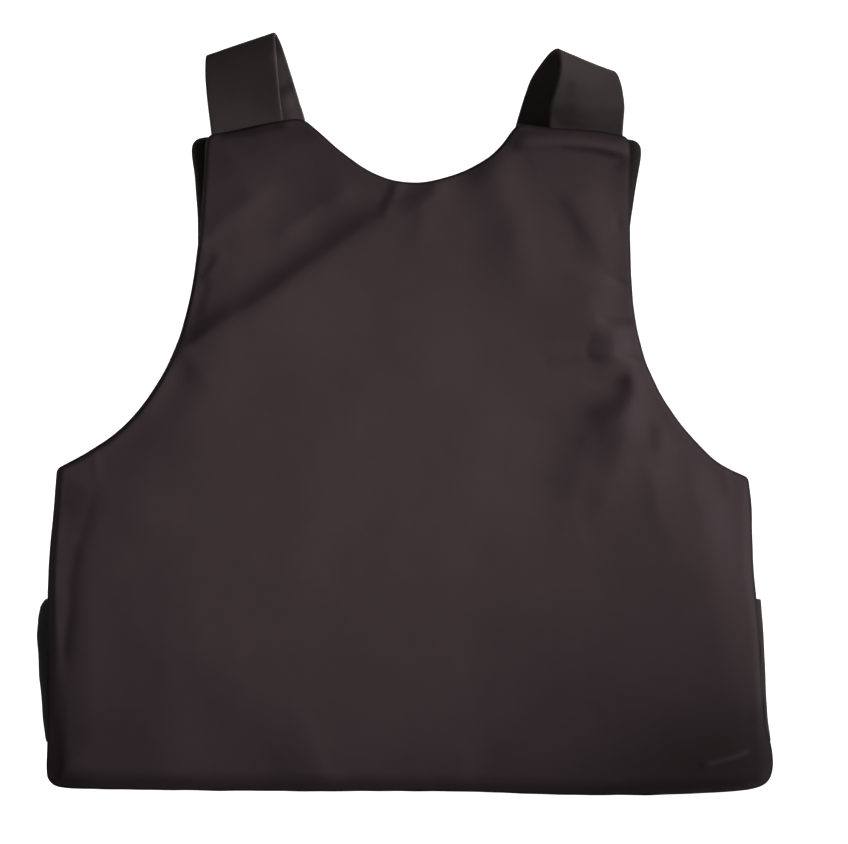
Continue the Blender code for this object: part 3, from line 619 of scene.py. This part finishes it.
def painted_shade_tone(points, away, shades):
    """How pale a cloth is left at each point by painted shade and light, as a share of its colour: the
    painted shade along the rim and the painted shades and highlights.
    """
    tone = RIM_SHADE_TONE + (1 - RIM_SHADE_TONE) * ease((away - RIM_START) / (RIM_END - RIM_START))
    for shade in shades:
        _, side, beyond = nearest_on(smooth_curve(shade.path, PATH_SPAN), points)
        tone *= 1 - shade.depth * np.exp(-(side**2 + beyond**2) / shade.reach**2)
    return tone


def mottle(points, distance, seed):
    """The cover's soft unevenness, which the sewn edge doesn't have."""
    waved = sum(height * waves(points, length, seed + k) for k, (length, height) in enumerate(MOTTLE))
    return waved * ease((distance - MOTTLE_START) / MOTTLE_SPAN)


def puckers(distance, place, seed):
    """Small gathers that a seam draws up in the cloth next to it."""
    gathers = sum(depth * noise_along(place, length, row, seed) for length, depth, row in PUCKERS)
    return gathers * np.exp(-((distance / PUCKER_REACH) ** 2))


def thickness(distance):
    """A panel is thin at its sewn edge and full over the pack inside it."""
    share = ease((distance - PACK_START) / (PACK_FULL - PACK_START))
    return EDGE_THICKNESS + (PACK_THICKNESS - EDGE_THICKNESS) * share


def face_height(low, thick, distance, roll, seam, side):
    """The height of a panel's outer face for side 1 and of its inner one for side -1, over an underside low.

    roll is how far in the face rolls over at the edge, and seam is how high the seam lies."""
    start = low + thick * (1 + seam) / 2
    end = low + thick * (1 + side) / 2
    share = 1 - (1 - SEAM_SHARE) * (1 - np.clip(distance / roll, 0, 1)) ** ROLL_POWER
    return start + (end - start) * share


def front_edge(points):
    """How far in the front panel's outer face rolls over, and how high its seam lies."""
    x, y = points.T
    rows = np.array(EDGE_BY_Y)
    left_roll, right_roll, left_seam, right_seam = (np.interp(y, rows[:, 0], k) for k in rows.T[1:])
    share = np.where(y > NECK_Y, x > 0, np.clip(0.5 + x / (2 * SIDE_X), 0, 1))
    roll = left_roll + (right_roll - left_roll) * share
    seam = left_seam + (right_seam - left_seam) * share
    neck = ease((NECK_HALF - np.abs(x)) / NECK_BLEND) * (y > NECK_Y)
    return roll + (NECK_ROLL - roll) * neck, seam + (NECK_SEAM - seam) * neck


def back_edge(points):
    """The same for the back panel: one roll, and its seam halfway up."""
    return np.full(len(points), PLAIN_ROLL), np.zeros(len(points))


def grid_points(outline, innermost, step):
    """Rows of points that fill the inside of a loop."""
    low, high = innermost.min(axis=0), innermost.max(axis=0)
    rows = []
    for number, y in enumerate(np.arange(low[1], high[1], step * math.sqrt(3) / 2)):
        x = np.arange(low[0] + (number % 2) * step / 2, high[0], step)
        rows.append(np.column_stack([x, np.full(len(x), y)]))
    grid = np.vstack(rows)
    grid = grid[inside(innermost, grid)]
    distance, _ = outline.look_up(grid)
    return grid[distance > EDGE_DEPTHS[0] + 0.5 * min(step, 2 * RING_STEP)]


def cap_triangles(ring, points):
    """Triangles between a ring and the points inside it."""
    count = len(ring)
    edges = [(k, (k + 1) % count) for k in range(count)]
    flat = [Vector(point) for point in np.vstack([ring, points])]
    inner = delaunay_2d_cdt(flat, edges, [list(range(count))], INSIDE_ONLY, SAME_POINT)
    faces, origin = inner[2:4]
    order = [sources[0] for sources in origin]
    return [[order[corner] for corner in face] for face in faces]


def mesh_object(name, vertices, faces, material):
    mesh = bpy.data.meshes.new(name)
    mesh.from_pydata([tuple(vertex) for vertex in vertices], [], [tuple(face) for face in faces])
    mesh.validate()
    mesh.shade_smooth()
    mesh.materials.append(material)
    obj = bpy.data.objects.new(name, mesh)
    bpy.context.scene.collection.objects.link(obj)
    return obj


def panel_form(node):
    """A CAD panel's outline, and a function that gives its underside's height at points."""
    points, triangles = node_shape(node)
    outline = Outline(plan_outline(points, triangles))
    down = np.unique(triangles[facing(points, triangles) < UNDERSIDE_FACING])
    distance, _ = outline.look_up(points[down, :2])
    return outline, fitted_surface(points[down][distance > UNDERSIDE_MARGIN], UNDERSIDE_REACH)


def panel_cover(node, steps, edge, relief, shades, seed, material):
    """A padded panel's cover, on the CAD node's outline and underside. steps are for its two faces."""
    outline, underside = panel_form(node)

    def heights(at, side):
        distance, place = outline.look_up(at)
        low = underside(at)
        roll, seam = edge(at)
        thick = thickness(distance) + relief(at, distance) + puckers(distance, place, seed)
        thick = np.maximum(thick, THINNEST)
        if side > 0:
            return face_height(low, thick, distance, roll, seam, 1)
        return np.maximum(face_height(low, thick, distance, PLAIN_ROLL, seam, -1), 0.0)

    vertices, faces, starts = [], [], []
    along = np.arange(len(outline.loop)) * RING_STEP
    wobble = noise_along(along, WOBBLE_LENGTH, WOBBLE_ROW, seed)
    rings = [(depth, 1) for depth in EDGE_DEPTHS] + [(SEAM_DEPTH, 0)]
    rings += [(depth, -1) for depth in EDGE_DEPTHS[::-1]]
    for depth, side in rings:
        ring = inset(outline.loop, depth + EDGE_WOBBLE * wobble * (1 - depth / EDGE_DEPTHS[0]))
        starts.append(len(vertices))
        level = heights(ring, side) if side else (heights(outline.loop, 1) + heights(outline.loop, -1)) / 2
        vertices.extend(np.column_stack([ring, level]))
    count = len(outline.loop)
    for first, second in zip(starts, starts[1:]):
        for k in range(count):
            following = (k + 1) % count
            faces.append((first + k, second + k, second + following, first + following))
    innermost = inset(outline.loop, EDGE_DEPTHS[0])
    for side, start, step in ((1, starts[0], steps[0]), (-1, starts[-1], steps[1])):
        middle = grid_points(outline, innermost, step)
        shift = len(vertices)
        vertices.extend(np.column_stack([middle, heights(middle, side)]))
        for face in cap_triangles(innermost, middle):
            corners = [start + k if k < count else shift + k - count for k in face]
            faces.append(corners if side > 0 else corners[::-1])
    cover = mesh_object(f"{node}_cover", vertices, faces, material)
    # Painted shade along the rim, and the cover's painted shades and highlights, kept in its tone attribute
    give_painted_shade(cover, lambda places: outline.look_up(places)[0], shades)
    return cover


def give_painted_shade(piece, away, shades):
    """Stores a piece's painted shade and light at each point. away gives the points' distances from its edge.
    """
    places = np.array([vertex.co[:2] for vertex in piece.data.vertices])
    layer = piece.data.attributes.new("tone", "FLOAT", "POINT")
    layer.data.foreach_set("value", painted_shade_tone(places, away(places), shades))


def front_relief(points, distance):
    return fold_height(points) + mottle(points, distance, FRONT_MOTTLE_SEED)


def back_relief(points, distance):
    return BACK_MOTTLE * mottle(points, distance, BACK_MOTTLE_SEED)


def band(name, middles, thick, relief, material):
    """A strap from rows of middle points, with rounded edges and a UV map in metres, and its length.

    relief gives, at each distance along and across, how far the strap stands off its middle."""
    rows, columns = middles.shape[:2]
    out = np.cross(np.gradient(middles, axis=0), np.gradient(middles, axis=1))
    out /= np.linalg.norm(out, axis=2)[:, :, None]
    steps = np.linalg.norm(np.diff(middles, axis=1), axis=2)
    aside = np.concatenate([np.zeros((rows, 1)), np.cumsum(steps, axis=1)], axis=1)
    width = aside[:, -1:].copy()
    aside -= width / 2
    far = travel(middles[:, columns // 2], 3)
    rim = width / 2 - np.abs(aside)
    half = thick / 2 * np.sqrt(1 - (1 - np.clip(rim / (thick / 2), 0, 1)) ** 2)
    half *= 1 + HEM_RISE * (1 - ease((rim - HEM_WIDTH) / HEM_END))
    stands = np.array([[relief(far[r], aside[r, c]) for c in range(columns)] for r in range(rows)])
    top = middles + (stands + half)[:, :, None] * out
    bottom = middles + (stands - half)[:, :, None] * out
    top_index = np.arange(rows * columns).reshape(rows, columns)
    bottom_index = top_index.copy()
    bottom_index[:, 1:-1] = rows * columns + np.arange(rows * (columns - 2)).reshape(rows, columns - 2)
    vertices = [*top.reshape(-1, 3), *bottom[:, 1:-1].reshape(-1, 3)]
    faces = []
    for index in (top_index, bottom_index[:, ::-1]):
        for row in range(rows - 1):
            for column in range(columns - 1):
                (a, b), (c, d) = index[row : row + 2, column : column + 2]
                faces.append((a, c, d, b))
    faces.append((*top_index[0], *bottom_index[0, -2:0:-1]))
    faces.append((*bottom_index[-1, 1:-1], *top_index[-1, ::-1]))
    strap = mesh_object(name, vertices, faces, material)
    places = [(a, f) for f, across in zip(far, aside) for a in across]
    places += [(a + 2 * width.max(), f) for f, across in zip(far, aside) for a in across[1:-1]]
    layer = strap.data.uv_layers.new(name="along_strap")
    for loop in strap.data.loops:
        layer.data[loop.index].uv = places[loop.vertex_index]
    return strap, far[-1]


def wrinkled(wrinkles, length, width, seed):
    """The relief of a strap: its own wrinkles, and a little unevenness."""

    def relief(far, aside):
        total = UNEVEN_HEIGHT * noise.noise((far / UNEVEN_ALONG, aside / UNEVEN_ACROSS, seed))
        for along, across, reach, spread, height in wrinkles:
            a = (far - along * length) / reach
            b = (aside - across * width / 2) / spread
            total += height * math.exp(-a * a - b * b)
        return total

    return relief


def column_places(count):
    """Places across a strap from 0 to 1, closer together at its edges."""
    return 0.5 + 0.5 * np.sin(np.linspace(-math.pi / 2, math.pi / 2, count))


def shoulder_strap(name, stations, wrinkles, shades, seed, material):
    """A shoulder strap through its stations, and its length."""
    curve = smooth_curve(stations, STRAP_SPAN)
    middle = (curve[:, :3] + curve[:, 3:]) / 2
    along = travel(middle, 3)
    places = np.linspace(0, along[-1], STRAP_ROWS)
    edges = np.column_stack([np.interp(places, along, column) for column in curve.T])
    left, right = edges[:, None, :3], edges[:, None, 3:]
    middles = left + (right - left) * column_places(STRAP_COLUMNS)[None, :, None]
    relief = wrinkled(wrinkles, along[-1], STRAP_WIDTH, seed)
    strap, length = band(name, middles, STRAP_THICKNESS, relief, material)
    # A strap has no painted shade at its rim, only its own painted shades and highlights
    give_painted_shade(strap, lambda places: np.full(len(places), RIM_END), shades)
    return strap, length


def side_strap(name, side, front_under, back_under, material):
    """A side strap, from under the front panel round the side to under the back one, and its length."""
    sign = -1.0 if side == "left" else 1.0
    rows = np.array(SIDE_REACH)

    def below(surface, across, y):
        heights = surface(np.array([[sign * x, y] for x in across])) - SIDE_CLEAR
        return list(zip(across, heights))

    sides = []
    for y in rows[0, 0] + (rows[-1, 0] - rows[0, 0]) * column_places(STRAP_COLUMNS):
        reach = np.interp(y, rows[:, 0], rows[:, 1 if side == "left" else 2])
        bend = [(reach - inwards, z) for inwards, z in SIDE_BEND]
        stations = below(front_under, SIDE_FRONT_X, y) + bend + below(back_under, SIDE_BACK_X, y)
        curve = resampled(smooth_curve(stations, STRAP_SPAN), SIDE_ROWS, 2)
        sides.append(np.column_stack([sign * curve[:, 0], np.full(len(curve), y), curve[:, 1]]))
    return band(name, np.stack(sides, axis=1), SIDE_THICKNESS, wrinkled((), 1.0, 1.0, SIDE_SEED), material)


class Nodes:
    """The nodes of a material or a world, with short calls to add and link them."""

    def __init__(self, owner):
        owner.use_nodes = True
        self.tree = owner.node_tree

    def add(self, kind, values=(), **settings):
        node = self.tree.nodes.new(kind)
        for key, value in settings.items():
            setattr(node, key, value)
        for key, value in dict(values).items():
            node.inputs[key].default_value = value
        return node

    def link(self, source, target):
        self.tree.links.new(source, target)

    def math(self, operation, *terms):
        node = self.add("ShaderNodeMath", operation=operation)
        for term, socket in zip(terms, node.inputs):
            if isinstance(term, (int, float)):
                socket.default_value = term
            else:
                self.link(term, socket)
        return node.outputs[0]

    def noise(self, place, scale, detail):
        node = self.add("ShaderNodeTexNoise", {"Scale": scale, "Detail": detail})
        self.link(place, node.inputs["Vector"])
        return node.outputs["Fac"]

    def threads(self, place, direction, period):
        """Round threads side by side, period metres apart: a height from 0 to 1."""
        node = self.add("ShaderNodeTexWave", {"Scale": WAVE_PERIOD / period, "Distortion": 0.0})
        node.bands_direction = direction
        self.link(place, node.inputs["Vector"])
        return node.outputs["Fac"]


def weave_height(nodes, place):
    """A plain weave: warp and weft threads that pass over each other by turns."""
    warp = nodes.threads(place, "X", WEAVE_PERIOD)
    weft = nodes.threads(place, "Y", WEAVE_PERIOD)
    check = nodes.add("ShaderNodeTexChecker", {"Scale": 1 / WEAVE_PERIOD})
    nodes.link(place, check.inputs["Vector"])
    over = nodes.math("MULTIPLY", warp, check.outputs["Fac"])
    under = nodes.math("MULTIPLY", weft, nodes.math("SUBTRACT", 1.0, check.outputs["Fac"]))
    return nodes.math("ADD", over, under)


def cloth_material(name, colour, place_output, painted_shading):
    """A woven cloth: thread relief, soft blotches of tone, a little lint and an uneven matt surface.

    place_output is the texture coordinate that the weave follows. With painted_shading, the colour is also
    scaled by the painted shade and light in its piece's tone attribute."""
    material = bpy.data.materials.new(name)
    nodes = Nodes(material)
    surface = nodes.tree.nodes["Principled BSDF"].inputs
    place = nodes.add("ShaderNodeTexCoord").outputs[place_output]
    weave = weave_height(nodes, place)
    broad = nodes.noise(place, *BROAD_NOISE)
    small = nodes.noise(place, *SMALL_NOISE)
    lint = nodes.noise(place, *LINT_NOISE)
    tone = nodes.math("MULTIPLY", broad, BROAD_SHARE)
    for source, share in ((small, SMALL_SHARE), (lint, LINT_SHARE), (weave, WEAVE_SHARE)):
        tone = nodes.math("ADD", tone, nodes.math("MULTIPLY", source, share))
    ramp = nodes.add("ShaderNodeValToRGB")
    for stop, position, share in zip(ramp.color_ramp.elements, TONE_SPAN, TONE_SHARES):
        stop.position = position
        stop.color = (*(share * part for part in colour), 1.0)
    nodes.link(tone, ramp.inputs["Fac"])
    shade = ramp.outputs["Color"]
    if painted_shading:
        # The piece's painted shade and light, from its tone attribute, scale the colour
        given = nodes.add("ShaderNodeAttribute", attribute_name="tone")
        darker = nodes.add("ShaderNodeVectorMath", operation="SCALE")
        nodes.link(shade, darker.inputs["Vector"])
        nodes.link(given.outputs["Fac"], darker.inputs["Scale"])
        shade = darker.outputs["Vector"]
    nodes.link(shade, surface["Base Color"])
    rough = nodes.math("MULTIPLY_ADD", small, ROUGHNESS_CHANGE, ROUGHNESS)
    nodes.link(rough, surface["Roughness"])
    threads = nodes.math("MULTIPLY", weave, WEAVE_DEPTH)
    slubs = nodes.math("MULTIPLY", nodes.noise(place, *SLUB_NOISE), 2 * WEAVE_DEPTH)
    bump = nodes.add("ShaderNodeBump", {"Strength": BUMP_STRENGTH, "Distance": 1.0})
    nodes.link(nodes.math("ADD", threads, slubs), bump.inputs["Height"])
    nodes.link(bump.outputs["Normal"], surface["Normal"])
    surface["Specular IOR Level"].default_value = CLOTH_SPECULAR
    return material


def floor_material():
    material = bpy.data.materials.new("pale floor")
    surface = Nodes(material).tree.nodes["Principled BSDF"].inputs
    surface["Base Color"].default_value = FLOOR_COLOUR
    surface["Roughness"].default_value = FLOOR_ROUGHNESS
    surface["Specular IOR Level"].default_value = FLOOR_SPECULAR
    return material


def collected(name, objects):
    """A collection that light linking can name."""
    group = bpy.data.collections.new(name)
    for obj in objects:
        group.objects.link(obj)
    return group


def make_floor():
    """A pale floor. It takes light and shadow, and throws none back at the vest's edges."""
    corners = [(FLOOR_REACH * x, FLOOR_REACH * y, 0.0) for x, y in ((-1, -1), (1, -1), (1, 1), (-1, 1))]
    floor = mesh_object("floor", corners, [(0, 1, 2, 3)], floor_material())
    floor.location.z = FLOOR_Z
    floor.visible_diffuse = False
    return floor


def aimed(obj, aim, azimuth, elevation, distance):
    """Puts a light where its azimuth from +X and its elevation say, facing its aim."""
    turn, rise = math.radians(azimuth), math.radians(elevation)
    flat = distance * math.cos(rise)
    away = Vector((flat * math.cos(turn), flat * math.sin(turn), distance * math.sin(rise)))
    turned = away.to_track_quat("Z", "Y").to_matrix().to_4x4()
    obj.matrix_world = Matrix.Translation(Vector(aim) + away) @ turned
    bpy.context.scene.collection.objects.link(obj)


def make_sun(name, strength, angle, lit, azimuth, elevation):
    """A sun that lights only the objects in the collection lit."""
    sun = bpy.data.lights.new(name, "SUN")
    sun.energy = strength
    sun.angle = angle
    sun_object = bpy.data.objects.new(name, sun)
    sun_object.light_linking.receiver_collection = lit
    aimed(sun_object, (0.0, 0.0, 0.0), azimuth, elevation, SUN_DISTANCE)


def make_lights(floor, pieces):
    """A soft key from low on the right for the cloth, a weak fill, and an even light for the floor."""
    cloths = collected("lit by the key", pieces)
    key = bpy.data.lights.new("key", "SPOT")
    key.shadow_soft_size = KEY_SIZE / 2
    key.spot_size = 2 * math.atan(KEY_POOL / KEY_DISTANCE)
    key.spot_blend = 1.0
    key.energy = KEY_POWER
    key_object = bpy.data.objects.new("key", key)
    key_object.light_linking.receiver_collection = cloths
    aimed(key_object, KEY_AIM, KEY_AZIMUTH, KEY_ELEVATION, KEY_DISTANCE)
    make_sun("fill", FILL, FILL_ANGLE, cloths, FILL_AZIMUTH, FILL_ELEVATION)
    stage = collected("lit from the top", [floor])
    make_sun("floor light", FLOOR_LIGHT, FLOOR_LIGHT_ANGLE, stage, FLOOR_LIGHT_AZIMUTH, FLOOR_LIGHT_ELEVATION)


def make_sky():
    """A weak sky, brighter high up, and plain white where the camera sees it."""
    world = bpy.data.worlds.new("studio")
    nodes = Nodes(world)
    place = nodes.add("ShaderNodeTexCoord")
    split = nodes.add("ShaderNodeSeparateXYZ")
    span = zip(("From Min", "From Max", "To Min", "To Max"), SKY_SPAN + SKY)
    sky = nodes.add("ShaderNodeMapRange", span, interpolation_type="SMOOTHSTEP")
    seen = nodes.add("ShaderNodeLightPath")
    pick = nodes.add("ShaderNodeMix", {"B": 1.0})
    nodes.link(place.outputs["Generated"], split.inputs["Vector"])
    nodes.link(split.outputs["Z"], sky.inputs["Value"])
    nodes.link(seen.outputs["Is Camera Ray"], pick.inputs["Factor"])
    nodes.link(sky.outputs["Result"], pick.inputs["A"])
    nodes.link(pick.outputs["Result"], nodes.tree.nodes["Background"].inputs["Strength"])
    bpy.context.scene.world = world


def make_camera():
    camera = bpy.data.cameras.new("camera")
    camera.sensor_width = SENSOR_WIDTH
    camera.lens = CAMERA_LENS
    camera.clip_end = CLIP_END
    obj = bpy.data.objects.new("camera", camera)
    obj.location = CAMERA_PLACE
    bpy.context.scene.collection.objects.link(obj)
    bpy.context.scene.camera = obj


def place_piece(piece, node):
    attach(piece, "root")
    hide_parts(node)


def main():
    bpy.context.scene.view_settings.view_transform = "Standard"
    cover_cloth = cloth_material("cover cloth", COVER_COLOUR, "Object", True)
    back_cloth = cloth_material("back cover cloth", BACK_COLOUR, "Object", True)
    strap_cloth = cloth_material("strap cloth", STRAP_COLOUR, "UV", True)
    side_cloth = cloth_material("side strap cloth", SIDE_COLOUR, "UV", False)

    steps = (FRONT_STEP, HIDDEN_STEP)
    front = panel_cover("front_panel", steps, front_edge, front_relief, PAINTED_SHADES, FRONT_SEED, cover_cloth)
    place_piece(front, "front_panel")
    steps = (BACK_STEP, HIDDEN_STEP)
    back = panel_cover("back_panel", steps, back_edge, back_relief, (), BACK_SEED, back_cloth)
    place_piece(back, "back_panel")
    pieces = [front, back]

    for side, stations, wrinkles, shades, seed in (
        ("left", LEFT_STRAP, LEFT_WRINKLES, LEFT_STRAP_SHADES, LEFT_SEED),
        ("right", RIGHT_STRAP, RIGHT_WRINKLES, RIGHT_STRAP_SHADES, RIGHT_SEED),
    ):
        name = f"shoulder_strap_{side}_cloth"
        strap, length = shoulder_strap(name, stations, wrinkles, shades, seed, strap_cloth)
        place_piece(strap, f"shoulder_strap_{side}")
        pieces.append(strap)
    front_under, back_under = (panel_form(node)[1] for node in ("front_panel", "back_panel"))
    for side in ("left", "right"):
        strap, length = side_strap(f"side_strap_{side}_cloth", side, front_under, back_under, side_cloth)
        place_piece(strap, f"side_strap_{side}")
        pieces.append(strap)

    make_lights(make_floor(), pieces)
    make_sky()
    make_camera()


main()
